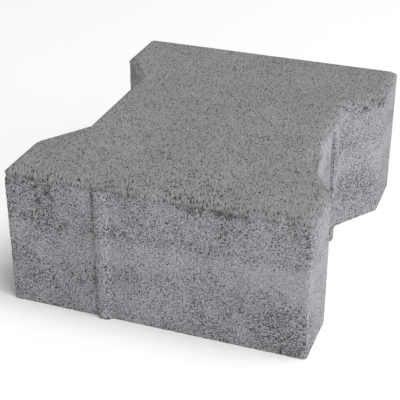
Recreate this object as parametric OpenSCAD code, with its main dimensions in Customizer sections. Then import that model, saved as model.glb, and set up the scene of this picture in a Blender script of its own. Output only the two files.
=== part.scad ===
// Interlocking concrete paving stone, cast in one piece: two heads joined by a narrower waist.
// X runs across the heads, Y along the stone and Z up. The origin is the middle of the bed face.

/* [Stone] */
// Length over the two end faces, without the spacer ribs
stone_l = 200; // [180:1:260]
// Width across the heads
stone_w = 165; // [130:1:200]
// Thickness, from the bed face to the wearing face
stone_h = 80; // [50:1:120]

/* [Waist] */
// Depth of each side recess, from the side of a head to the side of the waist
waist_in = 19; // [12:0.5:26]
// Length of a slanted shoulder, measured along the stone
shoulder_l = 28; // [22:0.5:34]

/* [Edges] */
// Width of the chamfer round the wearing face
chamfer_w = 4; // [2:0.25:7]
// Drop of the chamfer round the wearing face
chamfer_h = 3; // [1.5:0.25:6]
// Radius of the upright corners at the two ends
corner_r = 2; // [1:0.25:5]

/* [Spacer ribs] */
// Width of a rib where it meets its face
rib_w = 9; // [8:0.5:12]
// How far a rib stands out from its face
rib_out = 2.5; // [1.5:0.25:3]
// Distance of an end rib from the middle of its face
end_rib_x = 28; // [10:1:45]
// Distance of a waist rib from the middle of its face
waist_rib_y = 20; // [6:0.5:22]
// Height of the slope that a rib ends in at its top
rib_slope = 4; // [2:0.5:8]
// Gap between the top of a rib and the chamfer
rib_gap = 1; // [0.5:0.5:10]

/* [Hidden] */
$fn = 96;

// The waist is as long as two head sides, so that two neighbours' heads fill a recess.
half_l = stone_l / 2;
half_w = stone_w / 2;
head_l = (stone_l - 2 * shoulder_l) / 4;
head_y = half_l - head_l;
waist_x = half_w - waist_in;
waist_y = head_y - shoulder_l;

// How far a shoulder's face is turned from the side of its head, and how far it is from the origin.
shoulder_turn = atan2(waist_in, shoulder_l);
shoulder_d = half_w * cos(shoulder_turn) - head_y * sin(shoulder_turn);

// A rib is the part of an upright round bar that stands out of the face, and its top is a cone.
rib_r = (rib_w * rib_w / 4 + rib_out * rib_out) / (2 * rib_out);
rib_in = rib_r - rib_out;
rib_top = stone_h - chamfer_h - rib_gap;
rib_bury = 0.5;

// Cutting shapes run past the stone by these.
reach = stone_l + stone_w;
clear = 1;

// The plan, with each end corner cut straight across from one end of its rounding to the other.
module cut_plan() {
    quarter = [
        [waist_x, waist_y],
        [half_w, head_y],
        [half_w, half_l - corner_r],
        [half_w - corner_r, half_l]
    ];
    quarter_back = [for (i = [len(quarter) - 1:-1:0]) quarter[i]];
    polygon(concat(
        quarter,
        [for (p = quarter_back) [-p[0], p[1]]],
        [for (p = quarter) [-p[0], -p[1]]],
        [for (p = quarter_back) [p[0], -p[1]]]
    ));
}

// The plan with its end corners rounded.
module plan() {
    cut_plan();
    for (x = [-1, 1], y = [-1, 1])
        translate([x * (half_w - corner_r), y * (half_l - corner_r)])
            circle(r = corner_r);
}

// All that lies under the chamfer of one side. The side's face is at a distance from the origin.
module under_chamfer(distance, turn) {
    rotate([90, 0, turn])
        linear_extrude(height = 2 * reach, center = true)
            polygon([
                [-reach, -clear],
                [distance + chamfer_w, -clear],
                [distance + chamfer_w, stone_h - 2 * chamfer_h],
                [distance - 2 * chamfer_w, stone_h + chamfer_h],
                [-reach, stone_h + chamfer_h]
            ]);
}

// All that lies under the chamfers of the head at +Y.
module under_head() {
    intersection() {
        under_chamfer(half_w, 0);
        under_chamfer(half_w, 180);
        under_chamfer(half_l, 90);
        under_chamfer(shoulder_d, -shoulder_turn);
        under_chamfer(shoulder_d, 180 + shoulder_turn);
    }
}

// All that lies under the chamfers of the waist, with its ends inside the heads.
module under_waist() {
    intersection() {
        under_chamfer(waist_x, 0);
        under_chamfer(waist_x, 180);
        translate([-half_w, -head_y, -2 * clear])
            cube([stone_w, 2 * head_y, 2 * stone_h]);
    }
}

// The cast block without its ribs.
module block() {
    intersection() {
        linear_extrude(height = stone_h)
            plan();
        union() {
            under_head();
            rotate([0, 0, 180])
                under_head();
            under_waist();
        }
    }
}

// A spacer rib for a face that passes through the origin and looks along +X.
module rib() {
    translate([-rib_in, 0, 0]) {
        cylinder(r = rib_r, h = rib_top - rib_slope);
        translate([0, 0, rib_top - rib_slope])
            cylinder(r1 = rib_r, r2 = rib_in - rib_bury, h = rib_slope);
    }
}

// Half a turn about Z carries each rib to its like, so that two stones always meet at a rib.
module paving_stone() {
    color([0.53, 0.53, 0.54]) {
        block();
        for (turn = [0, 180])
            rotate([0, 0, turn]) {
                translate([waist_x, waist_rib_y, 0])
                    rib();
                translate([end_rib_x, half_l, 0])
                    rotate([0, 0, 90])
                        rib();
            }
    }
}

paving_stone();
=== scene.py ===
import math
import random

import bmesh
import bpy
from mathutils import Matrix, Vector, noise


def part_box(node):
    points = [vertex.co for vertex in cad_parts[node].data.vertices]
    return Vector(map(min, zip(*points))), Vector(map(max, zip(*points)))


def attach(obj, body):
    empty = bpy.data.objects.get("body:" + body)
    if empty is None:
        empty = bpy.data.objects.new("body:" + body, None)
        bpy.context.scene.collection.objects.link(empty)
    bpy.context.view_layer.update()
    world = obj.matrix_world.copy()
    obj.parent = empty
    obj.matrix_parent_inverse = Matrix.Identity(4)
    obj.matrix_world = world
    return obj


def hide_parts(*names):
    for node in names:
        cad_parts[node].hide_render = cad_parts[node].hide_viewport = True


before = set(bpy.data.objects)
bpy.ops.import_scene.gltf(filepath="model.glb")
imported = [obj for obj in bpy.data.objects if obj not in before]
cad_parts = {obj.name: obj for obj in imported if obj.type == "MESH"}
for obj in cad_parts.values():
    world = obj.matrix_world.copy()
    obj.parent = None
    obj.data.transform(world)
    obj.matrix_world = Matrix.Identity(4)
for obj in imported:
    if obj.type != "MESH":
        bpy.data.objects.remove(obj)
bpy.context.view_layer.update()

mm = 0.001
touch = 0.01  # two places this close, in millimetres, count as one
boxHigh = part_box("paving_stone")[1]

# The stone's own sizes, in millimetres. Width, height and length come from the CAD solid.
stone = {
    "waistIn": 19.0,
    "shoulderLength": 28.0,
    "chamferWide": 4.0,
    "chamferHigh": 3.0,
    "cornerRadius": 2.0,
    "ribWide": 9.0,
    "ribOut": 2.5,
    "ribTop": 76.0,
    "ribSlope": 4.0,
    "ribBury": 0.5,
    "endRibX": 28.0,
    "waistRibY": 20.0,
    "meshStep": 1.04,
    "ribStep": 0.85,
    "bedStep": 6.0,
    "bedRing": 1.2,
    "arrisAngle": 0.3,  # radians that two faces turn at a worn edge
    "arrisWear": 0.5,
    "arrisPasses": 1,
}

headHalf = boxHigh.x / mm
topZ = boxHigh.z / mm
endHalf = boxHigh.y / mm - stone["ribOut"]
waistHalf = headHalf - stone["waistIn"]
headY = endHalf - (2 * endHalf - 2 * stone["shoulderLength"]) / 4
waistY = headY - stone["shoulderLength"]
chamferZ = topZ - stone["chamferHigh"]
ribHalf = stone["ribWide"] / 2
ribRadius = (ribHalf ** 2 + stone["ribOut"] ** 2) / (2 * stone["ribOut"])
ribInset = ribRadius - stone["ribOut"]


def between(low, high, share):
    return low + (high - low) * share


def within(value, low, high):
    return min(max(value, low), high)


def smoothStep(low, high, value):
    t = within((value - low) / (high - low), 0, 1)
    return t * t * (3 - 2 * t)


def halfWidthAt(y):
    along = within((abs(y) - waistY) / (headY - waistY), 0, 1)
    return between(waistHalf, headHalf, along)


def planLines():
    # Lines across the plan at each corner and at both sides of each rib
    endRib = stone["endRibX"]
    waistRib = stone["waistRibY"]
    xs = [endRib - ribHalf, endRib + ribHalf, headHalf]
    ys = [waistRib - ribHalf, waistRib + ribHalf, waistY, headY, endHalf]
    return [-x for x in reversed(xs)] + xs, [-y for y in reversed(ys)] + ys


def castBlock():
    # One flat plan of quads, raised in steps, then inset for the chamfer
    xs, ys = planLines()
    bm = bmesh.new()
    bmesh.ops.create_grid(bm, x_segments=len(xs) - 1, y_segments=len(ys) - 1, size=1)
    for vert in bm.verts:
        column = round((vert.co.x + 1) / 2 * (len(xs) - 1))
        row = round((vert.co.y + 1) / 2 * (len(ys) - 1))
        x = xs[column]
        if abs(x) == headHalf:
            x = math.copysign(halfWidthAt(ys[row]), x)
        vert.co = (x, ys[row], 0)
    faces = bm.faces[:]
    for z in (stone["ribTop"] - stone["ribSlope"], stone["ribTop"], chamferZ):
        raised = bmesh.ops.extrude_face_region(bm, geom=faces)["geom"]
        bmesh.ops.delete(bm, geom=[face for face in faces if face.is_valid], context="FACES")
        faces = [item for item in raised if isinstance(item, bmesh.types.BMFace)]
        for vert in {v for face in faces for v in face.verts}:
            vert.co.z = z
    bmesh.ops.inset_region(bm, faces=faces, thickness=stone["chamferWide"], depth=0,
                           use_boundary=True, use_even_offset=True)
    for vert in {v for face in faces for v in face.verts}:
        vert.co.z = topZ
    bmesh.ops.recalc_face_normals(bm, faces=bm.faces[:])
    return bm


def cutBands(bm, axis, lines):
    # Between each two lines, every edge that runs along the axis is cut into equal steps
    bands = []
    for low, high in zip(lines, lines[1:]):
        isRib = abs(high - low - stone["ribWide"]) < touch
        chosen = []
        length = 0
        for edge in bm.edges:
            run = edge.verts[1].co - edge.verts[0].co
            if abs(run.z) > touch:
                runsAlong = 2
            else:
                runsAlong = 0 if abs(run.x) > abs(run.y) else 1
            middle = (edge.verts[0].co[axis] + edge.verts[1].co[axis]) / 2
            if runsAlong == axis and low < middle < high:
                chosen.append(edge)
                length = max(length, run.length)
        cuts = round(length / (stone["ribStep"] if isRib else stone["meshStep"])) - 1
        bands.append((chosen, cuts))
    for chosen, cuts in bands:
        bmesh.ops.subdivide_edges(bm, edges=chosen, cuts=cuts, use_grid_fill=True)


def refine(bm):
    xs, ys = planLines()
    cutBands(bm, 0, xs)
    cutBands(bm, 1, ys)
    cutBands(bm, 2, [0, stone["ribTop"] - stone["ribSlope"], stone["ribTop"], chamferZ, topZ])


def raiseRibs(bm):
    # Each rib is part of an upright round bar, and the bar's cone closes it at its top
    top, slope = stone["ribTop"], stone["ribSlope"]

    def ribHeight(across, z):
        closing = within((z - top + slope) / slope, 0, 1)
        radius = between(ribRadius, ribInset - stone["ribBury"], closing)
        return max(math.sqrt(max(radius ** 2 - across ** 2, 0)) - ribInset, 0)

    for vert in bm.verts:
        x, y, z = vert.co
        if z > top:
            continue
        if abs(abs(y) - endHalf) < touch:
            side = math.copysign(1, y)
            vert.co.y += side * ribHeight(x - side * stone["endRibX"], z)
        elif abs(abs(x) - waistHalf) < touch and abs(y) < waistY:
            side = math.copysign(1, x)
            vert.co.x += side * ribHeight(y - side * stone["waistRibY"], z)


def roundCorners(bm):
    radius = stone["cornerRadius"]
    for vert in bm.verts:
        x, y = abs(vert.co.x), abs(vert.co.y)
        overX, overY = x - (headHalf - radius), y - (endHalf - radius)
        if overX > 0 and overY > 0:
            reach = math.hypot(overX, overY)
            if reach > radius:
                vert.co.x = math.copysign(headHalf - radius + overX * radius / reach, vert.co.x)
                vert.co.y = math.copysign(endHalf - radius + overY * radius / reach, vert.co.y)


def wearArrises(bm):
    sharp = [edge for edge in bm.edges if edge.calc_face_angle(0) > stone["arrisAngle"]]
    worn = {v for edge in sharp for v in edge.verts}
    for _ in range(stone["arrisPasses"]):
        bmesh.ops.smooth_vert(bm, verts=list(worn), factor=stone["arrisWear"],
                              use_axis_x=True, use_axis_y=True, use_axis_z=True)


# How the mould left the surface. Sizes and depths are in millimetres. Openness runs from 0, closed
# by cement skin, to 1, with every grain standing open.
surface = {
    "faceTilt": (0.3, 0.75),  # a normal's z: a side up to the first, the face from the second on
    "openLevel": 0.56,
    "openDrift": 0.28,
    "openDriftSize": 20.0,
    "openFleck": 0.22,
    "openFleckSize": 8.0,
    "grainSize": 1.8,
    "grainLayers": 2,
    "grainLayerFiner": 2.1,
    "grainLayerFade": 0.5,
    "grainDepthFace": 0.12,
    "grainDepthOpen": 0.62,
    "grainDepthSmooth": 0.10,
    "pitCell": 2.1,
    "pitCellSeed": 91.7,
    "pitRadius": 0.95,
    "pitSmallest": 0.6,
    "pitFloor": 0.2,
    "pitDepthFace": 0.2,
    "pitDepthOpen": 0.75,
    "pitShareFace": 0.25,
    "pitShareOpen": 0.6,
    # pitPoreFace, pitPoreSide, crumblePore and seamPore set how dark the painted shade in pits,
    # crumbled places and seams is
    "pitPoreFace": 0.2,
    "pitPoreSide": 0.5,
    "crumbleDepth": 0.9,
    "crumbleOpen": 0.8,
    "crumblePore": 0.7,
    "crumbleEdge": (-0.2, 0.4),
    "lumpSize": 4.5,
    "crumbSize": 1.8,
    "crumbShare": 0.6,
    "tornOpen": 0.45,
    "waveSize": 34.0,
    "waveDepth": 0.2,
    "seamDepth": 0.55,
    "seamOpen": 0.5,
    "seamPore": 0.75,
    "seamCore": 0.3,
    "seamReachEnd": 1.3,
    "seamReachWaist": 2.4,
    "seamLevel": 0.66,
    "seamBreakSize": 6.0,
    "jitter": 0.22,
    "seed": 11,
}

# Layers of looser and tighter mix up the sides: middle height, half thickness and change
layers = [(12, 20, 0.10), (42, 8, -0.14), (53, 3.5, 0.20), (67, 6, -0.08)]

# Looser and smoother patches on the sides: middle x, y, z, half size and change. The looser patch
# at (-73, 57) also darkens the far-left shoulder with more pores and hollows, partly as painted
# shade of that side
patches = [
    (-72, -100, 64, 18, 0.2), (-76, -100, 40, 40, 0.2), (66, -100, 20, 20, 0.25),
    (72, -100, 66, 16, 0.35), (72, -100, 12, 18, 0.3), (82.5, -82, 40, 40, -0.4),
    (82.5, 86, 40, 36, -0.3), (65, 38, 40, 9, -0.25), (63.5, 0, 60, 18, -0.35),
    (73, 50, 28, 16, 0.2), (73, 57, 60, 18, -0.15), (-73, 57, 50, 30, 0.35),
    (-64, 8, 44, 26, -0.5), (-82.5, 84, 50, 24, -0.6), (20, 100, 34, 26, -0.3),
]

# Crumbled places along the upper edge of the sides: middle x, y, z, half length and half height
crumbled = [
    (-78, -100, 74.5, 9, 3), (-62, -100, 67, 8, 7), (32, -100, 75, 20, 2.5),
    (77, 57, 74, 15, 4), (64, -16, 68, 7, 3), (-14, 100, 75, 18, 3), (63, 100, 74, 12, 3),
    (-82, 82, 75, 12, 3), (-82, -72, 74, 9, 3), (-74, -52, 75, 8, 3),
]

# Where the front chamfer was torn by the mould as it lifted: middle x, y, z and half size
tornChamfer = (22, -99, 79, 32)

# Places where the face mix ran down the side: middle x, y, half length and drop
faceDrops = [(64, -27, 13, 15), (-64, 27, 10, 7), (30, 100, 16, 5)]


def fade(away, size, full=0.5, gone=1.3):
    # 1 up to the full share of a size, then falling to 0 at the gone share
    return 1 - smoothStep(full * size, gone * size, away)


def nearness(x, y, z, half, point):
    return fade(math.sqrt((point.x - x) ** 2 + (point.y - y) ** 2 + (point.z - z) ** 2), half)


def opennessAt(point):
    openness = surface["openLevel"]
    openness += surface["openDrift"] * noise.noise(point / surface["openDriftSize"])
    openness += surface["openFleck"] * noise.noise(point / surface["openFleckSize"])
    for height, half, change in layers:
        openness += change * fade(abs(point.z - height), half, full=0.4, gone=1.2)
    for x, y, z, half, change in patches:
        openness += change * nearness(x, y, z, half, point)
    return within(openness, 0, 1)


def crumbleAt(point):
    # How much of the surface broke away here, in ragged lumps
    worst = 0
    for x, y, z, half, high in crumbled:
        along = fade(math.hypot(point.x - x, point.y - y), half)
        worst = max(worst, along * fade(abs(point.z - z), high, full=0.4))
    lumps = noise.noise(point / surface["lumpSize"])
    crumbs = surface["crumbShare"] * noise.noise(point / surface["crumbSize"])
    return worst * smoothStep(*surface["crumbleEdge"], lumps + crumbs)


def seamAt(point):
    # The open seam at one foot of each rib, broken along its height. It is carved into the mesh,
    # and its dark colour is painted shade
    feet = [
        (stone["endRibX"] + ribHalf, endHalf, surface["seamReachEnd"]),
        (waistHalf, stone["waistRibY"] - ribHalf, surface["seamReachWaist"]),
    ]
    best = 0
    for x, y, reach in feet:
        for sign in (-1, 1):
            away = math.hypot(point.x - sign * x, point.y - sign * y)
            best = max(best, 1 - smoothStep(surface["seamCore"], reach, away))
    kept = surface["seamLevel"] + noise.noise(point / surface["seamBreakSize"])
    return best * within(kept, 0, 1)


def faceDropAt(point):
    drop = 0
    for x, y, half, deep in faceDrops:
        away = math.hypot(point.x - x, point.y - y)
        drop = max(drop, deep * fade(away, half, full=0.7, gone=1.1))
    return drop


def pitAt(point, openness, upward):
    # 1 in the middle of a pit. Only some cells hold one, and more do where the grains stand open
    distances, centres = noise.voronoi(point / surface["pitCell"])
    chance = 0.5 + 0.5 * noise.cell(centres[0] * surface["pitCellSeed"])  # the cell's own number
    share = between(surface["pitShareOpen"] * openness, surface["pitShareFace"], upward)
    if chance >= share:
        return 0
    size = surface["pitRadius"] * between(surface["pitSmallest"], 1, chance / share)
    return 1 - smoothStep(surface["pitFloor"], 1, distances[0] * surface["pitCell"] / size)


def relief(point, normal):
    # Depth below the mould's face, openness (past 1 where it crumbled) and how much painted shade
    # it gets as a pit, crumbled place or seam
    upward = smoothStep(*surface["faceTilt"], normal.z)
    openness = opennessAt(point)
    openness += surface["tornOpen"] * upward * nearness(*tornChamfer, point)
    grain = noise.fractal(point / surface["grainSize"], surface["grainLayerFade"],
                          surface["grainLayerFiner"], surface["grainLayers"])
    grain = 0.5 + 0.5 * grain
    grainDepth = between(surface["grainDepthSmooth"], surface["grainDepthOpen"], openness)
    grainDepth = between(grainDepth, surface["grainDepthFace"], upward)
    pit = pitAt(point, openness, upward)
    pitDepth = between(surface["pitDepthOpen"], surface["pitDepthFace"], upward)
    wave = 0.5 + 0.5 * noise.noise(point / surface["waveSize"])
    crumble = crumbleAt(point) * (1 - upward)
    seam = seamAt(point) * (1 - upward)
    depth = max(grain, 0) * grainDepth + pit * pitDepth + wave * surface["waveDepth"]
    depth += crumble * surface["crumbleDepth"] + seam * surface["seamDepth"]
    openness += max(crumble * surface["crumbleOpen"], seam * surface["seamOpen"])
    # Painted shade: pits, crumbled places and seams are darkened in colour, standing in for the
    # shade that falls in them
    poreShade = pit * between(surface["pitPoreSide"], surface["pitPoreFace"], upward)
    poreShade = max(poreShade, crumble * surface["crumblePore"], seam * surface["seamPore"])
    return depth, openness, poreShade


def roughen(bm):
    # The slips are drawn in the mesh's own order. On the sides extruding sets that order anew each
    # run, so about a quarter of all vertices, each on a side, slip some tenths of a mm differently.
    bm.normal_update()
    dice = random.Random(surface["seed"])
    openLayer = bm.verts.layers.float.new("openness")
    poreShadeLayer = bm.verts.layers.float.new("poreShade")
    dropLayer = bm.verts.layers.float.new("faceDrop")
    moves = []
    for vert in bm.verts:
        depth, openness, poreShade = relief(vert.co, vert.normal)
        vert[openLayer] = openness
        vert[poreShadeLayer] = poreShade
        vert[dropLayer] = faceDropAt(vert.co) * mm
        reach = surface["jitter"]
        slip = Vector([dice.uniform(-reach, reach) for _ in range(3)])
        slip -= vert.normal * slip.dot(vert.normal)
        moves.append((vert, slip - vert.normal * depth))
    for vert, move in moves:
        vert.co += move
        vert.co.x = within(vert.co.x, -headHalf, headHalf)
        vert.co.y = within(vert.co.y, -boxHigh.y / mm, boxHigh.y / mm)
        vert.co.z = min(vert.co.z, topZ)


def closeBed(bm):
    # The bed face: one ring along its edge, then plain squares
    rim = [edge for edge in bm.edges if edge.is_boundary]
    for vert in {v for edge in rim for v in edge.verts}:
        vert.co.z = 0
    bed = bmesh.ops.edgeloop_fill(bm, edges=rim)["faces"]
    bmesh.ops.inset_region(bm, faces=bed, thickness=stone["bedRing"], depth=0,
                           use_boundary=True, use_even_offset=True)
    step = stone["bedStep"]
    for normal, half in ((Vector((1, 0, 0)), headHalf), (Vector((0, 1, 0)), endHalf)):
        for i in range(-int(half / step), int(half / step) + 1):
            edges = {edge for face in bed for edge in face.edges}
            verts = {vert for face in bed for vert in face.verts}
            cut = bmesh.ops.bisect_plane(bm, geom=list({*bed, *edges, *verts}),
                                         plane_co=normal * (i * step), plane_no=normal)
            bed = [item for item in cut["geom"] if isinstance(item, bmesh.types.BMFace)]


def srgb(code):
    # An sRGB hex colour as linear red, green, blue and alpha
    values = [int(code[i:i + 2], 16) / 255 for i in (1, 3, 5)]
    linear = [v / 12.92 if v <= 0.04045 else ((v + 0.055) / 1.055) ** 2.4 for v in values]
    return (*linear, 1)


def addNode(tree, kind, inputs=None, **settings):
    # A shader node with its settings, and on each named input a value or a link
    item = tree.nodes.new("ShaderNode" + kind)
    for name, value in settings.items():
        setattr(item, name, value)
    for name, value in (inputs or {}).items():
        socket = item.inputs[name]
        if isinstance(value, bpy.types.NodeSocket):
            tree.links.new(value, socket)
        elif isinstance(value, float) and socket.type == "RGBA":
            socket.default_value = (value, value, value, 1)
        else:
            socket.default_value = value
    return item.outputs[0] if item.outputs else None


def perMetre(size):
    # A texture's scale from the real size of its features in millimetres
    return 1 / (size * mm)


# Vibropressed grey concrete, as it left the steel mould: a dull, grainy stone with open pores on
# its sides, and a tighter, darker wearing face whose fine dimples were drawn out by the feed box.
# Sizes are in millimetres, and heights are over the lower edge of the chamfer. Much of the real
# sand is finer: its grains and pores are drawn from 0.6 mm up, which is about the least that shows.
concrete = {
    "faceColour": "#8c8c8e",
    "bodyColour": "#acaaae",
    # Painted shade: this dark colour darkens pores, hollows, pits, crumbled places, seams and the
    # line where the mixes meet, standing in for the shade that falls in them
    "poreShadeColour": "#2c2b2e",
    "bodyEnds": -2.0,
    "faceStarts": 0.6,
    "wanderSize": 9.0,
    "wanderDepth": 1.2,
    "noiseSpan": (0.3, 0.7),  # where most values of a noise texture lie
    "dragStarts": -0.7,
    "dragAngle": 15.0,
    "dragLength": 2.6,
    "faceFineness": 1.1,
    "meetingHeight": -0.9,
    "meetingCore": 0.3,
    "meetingReach": 1.1,
    "meetingDepth": 0.24,
    "meetingBreakSize": 12.0,
    "meetingBreaks": (0.4, 0.6),
    "stains": [(30.0, 0.06), (6.0, 0.04)],  # size and strength of stains, then of blotches
    "stainDetail": 3.0,
    "cellScatter": 0.7,
    "sandSize": 0.6,
    "sandContrast": 0.20,
    "gritSize": 0.75,
    "gritHeight": 0.8,
    "gritHeightSmooth": 0.24,
    "hollowStarts": 0.47,
    "hollowFull": 0.30,
    "hollowFace": 0.14,
    "hollowSmooth": 0.425,
    "hollowOpen": 0.85,
    "poreCell": 1.0,
    "poreRadius": 0.38,
    "poreRim": (0.7, 1.2),  # shares of the radius over which a pore's edge fades
    "poreWidening": (0.85, 1.6),  # at openness 0 and at the widest openness
    "widestOpenness": 2.0,
    "poreShareFace": 0.9,
    "poreShareSmooth": 0.15,
    "poreShareOpen": 1.1,
    "poreDepth": 0.3,
    "crumbledOpenness": (1.0, 1.8),
    "crumbledShade": 0.9,
    "widePoreCell": 1.6,
    "widePoreRadius": 0.46,
    "widePoreShade": 0.4,
    "wideOpenness": (0.3, 1.2),
    "wideShares": (0.05, 0.6),
    "wideShareOnFace": 0.1,
    "pitShade": 0.6,
    "roughness": 0.92,
    "specular": 0.25,
    "ior": 1.5,
}


def concreteMaterial():
    material = bpy.data.materials.new("vibropressedConcrete")
    material.use_nodes = True
    tree = material.node_tree
    tree.nodes.clear()
    place = addNode(tree, "TexCoord").node.outputs["Object"]
    openness = addNode(tree, "Attribute", attribute_name="openness").node.outputs["Fac"]
    poreShade = addNode(tree, "Attribute", attribute_name="poreShade").node.outputs["Fac"]
    faceDrop = addNode(tree, "Attribute", attribute_name="faceDrop").node.outputs["Fac"]
    noiseLow, noiseHigh = concrete["noiseSpan"]
    # The painted shade colour
    poreShadeColour = srgb(concrete["poreShadeColour"])

    # Face mix above the chamfer's lower edge, body mix below, with a wandering border
    axes = addNode(tree, "SeparateXYZ", {"Vector": place}).node
    raised = addNode(tree, "Math", {0: axes.outputs["Z"], 1: faceDrop}, operation="ADD")
    border = addNode(tree, "TexNoise", {
        "Vector": place, "Scale": perMetre(concrete["wanderSize"])})
    wander = addNode(tree, "MapRange", {
        "Value": border, "From Min": noiseLow, "From Max": noiseHigh,
        "To Min": -concrete["wanderDepth"] * mm, "To Max": concrete["wanderDepth"] * mm})
    height = addNode(tree, "Math", {0: raised, 1: wander}, operation="ADD")
    isFace = addNode(tree, "MapRange", {
        "Value": height, "From Min": (chamferZ + concrete["bodyEnds"]) * mm,
        "From Max": (chamferZ + concrete["faceStarts"]) * mm})
    colour = addNode(tree, "MixRGB", {
        "Fac": isFace, "Color1": srgb(concrete["bodyColour"]),
        "Color2": srgb(concrete["faceColour"])})

    # On the face every fine mark is drawn out along the feed box's way
    turned = addNode(tree, "Mapping", {
        "Vector": place, "Rotation": (0, 0, math.radians(-concrete["dragAngle"]))})
    across = concrete["faceFineness"]
    along = across / concrete["dragLength"]
    drawn = addNode(tree, "Mapping", {"Vector": turned, "Scale": (across, along, along)})
    isDrawn = addNode(tree, "Math", {
        0: height, 1: (chamferZ + concrete["dragStarts"]) * mm}, operation="GREATER_THAN")
    fine = addNode(tree, "MixRGB", {"Fac": isDrawn, "Color1": place, "Color2": drawn})

    # The open line where the two mixes meet, broken along its length: painted shade of a fine
    # groove that the mesh does not carry
    offset = addNode(tree, "Math", {
        0: height, 1: (chamferZ + concrete["meetingHeight"]) * mm}, operation="SUBTRACT")
    away = addNode(tree, "Math", {0: offset}, operation="ABSOLUTE")
    line = addNode(tree, "MapRange", {
        "Value": away, "From Min": concrete["meetingCore"] * mm,
        "From Max": concrete["meetingReach"] * mm, "To Min": 1.0, "To Max": 0.0})
    breaks = addNode(tree, "TexNoise", {
        "Vector": place, "Scale": perMetre(concrete["meetingBreakSize"])})
    breakLow, breakHigh = concrete["meetingBreaks"]
    strength = addNode(tree, "MapRange", {
        "Value": breaks, "From Min": breakLow, "From Max": breakHigh,
        "To Max": concrete["meetingDepth"]})
    meetingLineShade = addNode(tree, "Math", {0: line, 1: strength}, operation="MULTIPLY")
    colour = addNode(tree, "MixRGB", {"Fac": meetingLineShade, "Color1": colour, "Color2": poreShadeColour})

    # Stains and blotches from uneven moisture
    for size, depth in concrete["stains"]:
        cloud = addNode(tree, "TexNoise", {
            "Vector": place, "Scale": perMetre(size), "Detail": concrete["stainDetail"]})
        tone = addNode(tree, "MapRange", {
            "Value": cloud, "From Min": noiseLow, "From Max": noiseHigh,
            "To Min": 1 - depth, "To Max": 1 + depth})
        colour = addNode(tree, "MixRGB", {
            "Fac": 1.0, "Color1": colour, "Color2": tone}, blend_type="MULTIPLY")

    # Sand grains, each with its own shade
    sand = addNode(tree, "TexVoronoi", {
        "Vector": fine, "Scale": perMetre(concrete["sandSize"]),
        "Randomness": concrete["cellScatter"]}).node
    grainShade = addNode(tree, "SeparateColor", {"Color": sand.outputs["Color"]})
    tint = addNode(tree, "MapRange", {
        "Value": grainShade, "To Min": 1 - concrete["sandContrast"],
        "To Max": 1 + concrete["sandContrast"]})
    colour = addNode(tree, "MixRGB", {
        "Fac": 1.0, "Color1": colour, "Color2": tint}, blend_type="MULTIPLY")

    # Hollows between the grains, darker the deeper they lie: painted shade, with some dust
    grit = addNode(tree, "TexNoise", {
        "Vector": fine, "Scale": perMetre(concrete["gritSize"]), "Detail": 0.0})
    hollow = addNode(tree, "MapRange", {
        "Value": grit, "From Min": concrete["hollowFull"], "From Max": concrete["hollowStarts"],
        "To Min": 1.0, "To Max": 0.0})
    bodyHollow = addNode(tree, "MapRange", {
        "Value": openness, "To Min": concrete["hollowSmooth"], "To Max": concrete["hollowOpen"]})
    hollowShade = addNode(tree, "MixRGB", {
        "Fac": isFace, "Color1": bodyHollow, "Color2": concrete["hollowFace"]})
    hollowShadeAndDust = addNode(tree, "Math", {0: hollow, 1: hollowShade}, operation="MULTIPLY")
    colour = addNode(tree, "MixRGB", {"Fac": hollowShadeAndDust, "Color1": colour, "Color2": poreShadeColour})

    # Round pores too fine for the mesh, painted dark as the shade inside them, wider on an open
    # surface and darkest where it crumbled
    narrowest, widest = concrete["poreWidening"]
    widening = addNode(tree, "MapRange", {
        "Value": openness, "From Max": concrete["widestOpenness"],
        "To Min": narrowest, "To Max": widest})
    crumbledLow, crumbledHigh = concrete["crumbledOpenness"]
    crumbledShade = addNode(tree, "MapRange", {
        "Value": openness, "From Min": crumbledLow, "From Max": crumbledHigh,
        "To Max": concrete["crumbledShade"]})

    def poresAt(cellSize, radius, share, lightest):
        # Each cell's own random colour says whether it holds a round hole and how dark its painted
        # shade is
        cells = addNode(tree, "TexVoronoi", {
            "Vector": fine, "Scale": perMetre(cellSize),
            "Randomness": concrete["cellScatter"]}).node
        chance = addNode(tree, "SeparateColor", {"Color": cells.outputs["Color"]}).node.outputs
        ownShade = addNode(tree, "MapRange", {"Value": chance["Green"], "To Min": lightest})
        shade = addNode(tree, "Math", {0: ownShade, 1: crumbledShade}, operation="MAXIMUM")
        reach = addNode(tree, "Math", {
            0: cells.outputs["Distance"], 1: widening}, operation="DIVIDE")
        inner, outer = [radius / cellSize * part for part in concrete["poreRim"]]
        disk = addNode(tree, "MapRange", {
            "Value": reach, "From Min": inner, "From Max": outer, "To Min": 1.0, "To Max": 0.0})
        hole = addNode(tree, "Math", {0: disk, 1: shade}, operation="MULTIPLY")
        isPore = addNode(tree, "Math", {0: chance["Red"], 1: share}, operation="LESS_THAN")
        return addNode(tree, "Math", {0: hole, 1: isPore}, operation="MULTIPLY")

    sideShare = addNode(tree, "MapRange", {
        "Value": openness, "To Min": concrete["poreShareSmooth"],
        "To Max": concrete["poreShareOpen"]})
    faceShare = addNode(tree, "Math", {
        0: isFace, 1: concrete["poreShareFace"]}, operation="MULTIPLY")
    smallShare = addNode(tree, "Math", {0: sideShare, 1: faceShare}, operation="MAXIMUM")
    smallPores = poresAt(concrete["poreCell"], concrete["poreRadius"], smallShare, 0.0)

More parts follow.
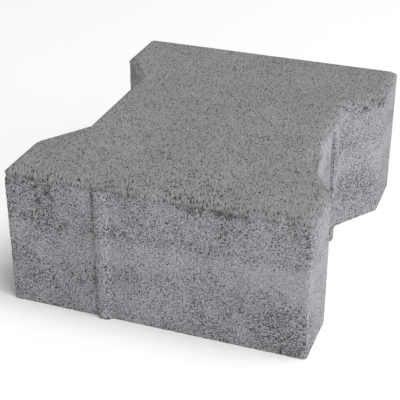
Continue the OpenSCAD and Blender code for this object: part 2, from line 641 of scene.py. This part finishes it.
    # Wider pores, few of them on the face
    wideLow, wideHigh = concrete["wideOpenness"]
    fewest, most = concrete["wideShares"]
    sideWide = addNode(tree, "MapRange", {
        "Value": openness, "From Min": wideLow, "From Max": wideHigh,
        "To Min": fewest, "To Max": most})
    faceWide = addNode(tree, "Math", {
        0: sideWide, 1: concrete["wideShareOnFace"]}, operation="MULTIPLY")
    wideShare = addNode(tree, "MixRGB", {"Fac": isFace, "Color1": sideWide, "Color2": faceWide})
    widePores = poresAt(concrete["widePoreCell"], concrete["widePoreRadius"], wideShare,
                        concrete["widePoreShade"])

    finePores = addNode(tree, "Math", {0: smallPores, 1: widePores}, operation="MAXIMUM")
    # Painted shade: fine pores, pits, crumbled places and seams take the dark shade colour
    paintedPitShade = addNode(tree, "Math", {0: poreShade, 1: concrete["pitShade"]}, operation="MULTIPLY")
    paintedPoreShade = addNode(tree, "Math", {0: finePores, 1: paintedPitShade}, operation="MAXIMUM")
    colour = addNode(tree, "MixRGB", {"Fac": paintedPoreShade, "Color1": colour, "Color2": poreShadeColour})

    # The same grit and pores as relief
    sunk = addNode(tree, "Math", {0: finePores, 1: concrete["poreDepth"]}, operation="MULTIPLY")
    level = addNode(tree, "Math", {0: grit, 1: sunk}, operation="SUBTRACT")
    bodyRise = addNode(tree, "MapRange", {
        "Value": openness, "To Min": concrete["gritHeightSmooth"],
        "To Max": concrete["gritHeight"]})
    rise = addNode(tree, "MixRGB", {
        "Fac": isFace, "Color1": bodyRise, "Color2": concrete["gritHeight"]})
    bumps = addNode(tree, "Math", {0: level, 1: rise}, operation="MULTIPLY")
    rough = addNode(tree, "Bump", {"Height": bumps, "Distance": mm, "Strength": 1.0})

    shader = addNode(tree, "BsdfPrincipled", {
        "Base Color": colour, "Normal": rough, "Roughness": concrete["roughness"],
        "IOR": concrete["ior"], "Specular IOR Level": concrete["specular"]})
    addNode(tree, "OutputMaterial", {"Surface": shader})
    return material


def makeStone():
    bm = castBlock()
    refine(bm)
    print("stone refined:", len(bm.faces), "faces")
    raiseRibs(bm)
    roundCorners(bm)
    wearArrises(bm)
    roughen(bm)
    closeBed(bm)
    bmesh.ops.recalc_face_normals(bm, faces=bm.faces[:])
    for face in bm.faces:
        face.smooth = True
    bmesh.ops.scale(bm, vec=(mm, mm, mm), verts=bm.verts[:])
    mesh = bpy.data.meshes.new("castStone")
    bm.to_mesh(mesh)
    bm.free()
    piece = bpy.data.objects.new("castStone", mesh)
    bpy.context.scene.collection.objects.link(piece)
    mesh.materials.append(concreteMaterial())
    mesh.calc_loop_triangles()
    print("stone made:", len(mesh.loop_triangles), "triangles")
    return piece


# Camera, floor and sky, in metres and degrees. The lens and its sensor are in millimetres.
studio = {
    "aim": (-0.00744, -0.00968, 0.0282),
    "distance": 0.6393,
    "azimuth": 20.22,
    "elevation": 28.89,
    "roll": -0.07,
    "lens": 98.98,
    "sensor": 36.0,
    "floorSize": 12.0,
    "floorColour": "#fbfbfb",
    "floorRoughness": 0.9,
    "skyColour": "#ffffff",
    "skyStrength": 0.36,
}

# Name, azimuth, elevation, distance, disk size and power of each soft light, in degrees, metres
# and watts
lights = [
    ("keyLight", 83.0, 18.0, 3.2, 1.6, 12.4),
    ("frontLight", 38.0, 20.0, 4.0, 2.6, 16.0),
    ("topLight", 80.0, 66.0, 4.0, 2.8, 126.0),
]


def direction(azimuth, elevation):
    # From the object towards a viewer or light; azimuth 0 is straight in front of the stone
    a, e = math.radians(azimuth), math.radians(elevation)
    return Vector((math.sin(a) * math.cos(e), -math.cos(a) * math.cos(e), math.sin(e)))


def makeCamera():
    data = bpy.data.cameras.new("camera")
    data.lens = studio["lens"]
    data.sensor_width = studio["sensor"]
    camera = bpy.data.objects.new("camera", data)
    bpy.context.scene.collection.objects.link(camera)
    back = direction(studio["azimuth"], studio["elevation"])
    camera.location = Vector(studio["aim"]) + back * studio["distance"]
    camera.rotation_euler = back.to_track_quat("Z", "Y").to_euler()
    camera.rotation_euler.rotate_axis("Z", math.radians(studio["roll"]))
    bpy.context.scene.camera = camera
    print("camera placed")


def makeStudio():
    bm = bmesh.new()
    bmesh.ops.create_grid(bm, x_segments=1, y_segments=1, size=studio["floorSize"] / 2)
    mesh = bpy.data.meshes.new("floor")
    bm.to_mesh(mesh)
    bm.free()
    floor = bpy.data.objects.new("floor", mesh)
    bpy.context.scene.collection.objects.link(floor)
    paint = bpy.data.materials.new("mattFloorPaint")
    paint.use_nodes = True
    shader = paint.node_tree.nodes["Principled BSDF"]
    shader.inputs["Base Color"].default_value = srgb(studio["floorColour"])
    shader.inputs["Roughness"].default_value = studio["floorRoughness"]
    mesh.materials.append(paint)

    world = bpy.data.worlds.new("softSky")
    world.use_nodes = True
    sky = world.node_tree.nodes["Background"]
    sky.inputs["Color"].default_value = srgb(studio["skyColour"])
    sky.inputs["Strength"].default_value = studio["skyStrength"]
    bpy.context.scene.world = world

    for name, azimuth, elevation, distance, size, power in lights:
        data = bpy.data.lights.new(name, "AREA")
        data.shape = "DISK"
        data.size = size
        data.energy = power
        lamp = bpy.data.objects.new(name, data)
        towards = direction(azimuth, elevation)
        lamp.location = towards * distance
        lamp.rotation_euler = towards.to_track_quat("Z", "Y").to_euler()
        bpy.context.scene.collection.objects.link(lamp)
    bpy.context.scene.view_settings.view_transform = "Standard"
    print("studio lit:", len(lights), "lights")


makeCamera()
makeStudio()
castStone = makeStone()
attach(castStone, "root")
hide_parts("paving_stone")
